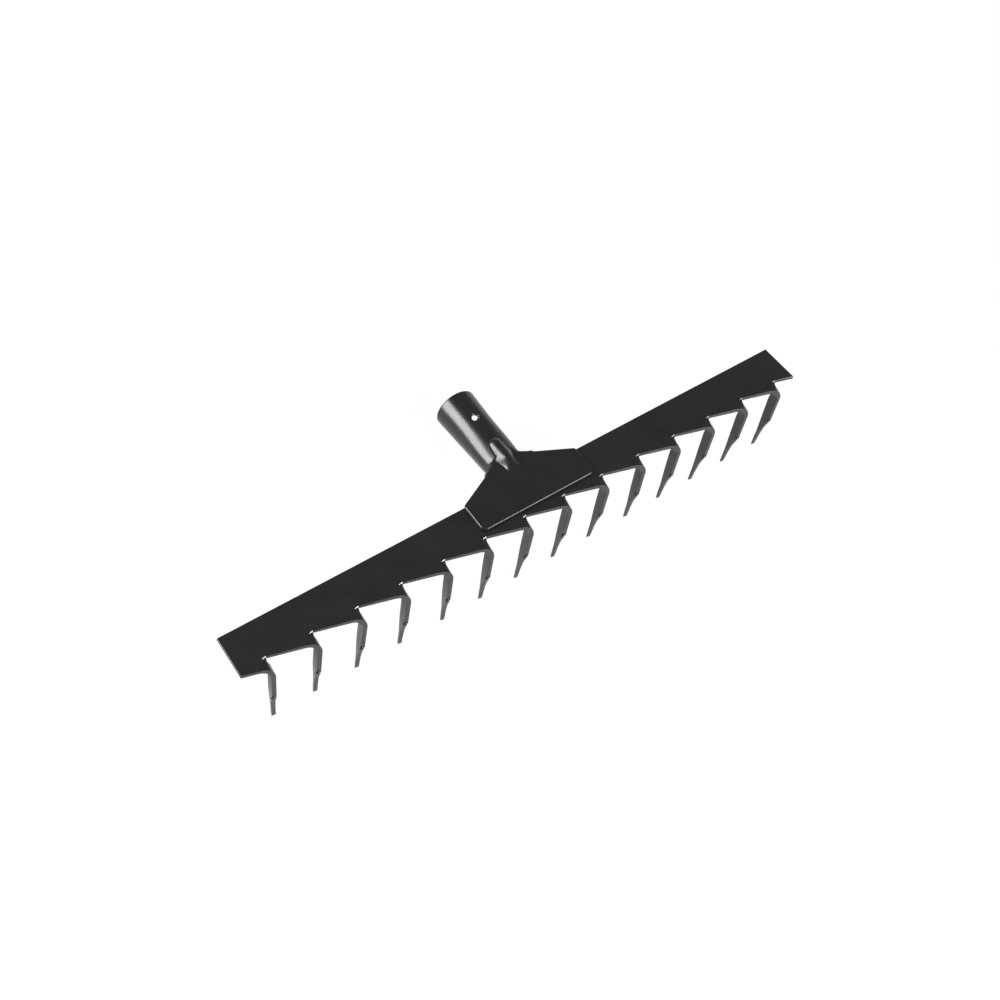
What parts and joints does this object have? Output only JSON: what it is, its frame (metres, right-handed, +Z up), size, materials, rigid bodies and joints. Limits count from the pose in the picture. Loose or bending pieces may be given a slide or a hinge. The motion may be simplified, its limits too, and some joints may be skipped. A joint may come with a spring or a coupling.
{
  "type": "garden rake head",
  "caption": "Steel garden rake head: a sheared and bent toothed blade with a flanged, rolled socket for a wooden handle.",
  "frame": {"origin": "on the ground under the middle of the head's box, as the head lies on its teeth and on the mouth of its socket", "axes": "+X along the blade from its left end to its right end as seen from the toothed side, +Y towards the handle, +Z up"},
  "size_m": [0.38, 0.1106, 0.0495],
  "materials": {
    "blade_paint": "satin black paint on sheet steel, lighter at the sheared edges",
    "socket_paint": "semi-gloss black paint on rolled sheet steel",
    "weld_paint": "black paint over a weld run"
  },
  "bodies": {
    "root": {"toothed_blade": "blade_paint", "handle_socket": "socket_paint", "weld_run_left": "weld_paint", "weld_run_right": "weld_paint"}
  },
  "joints": []
}
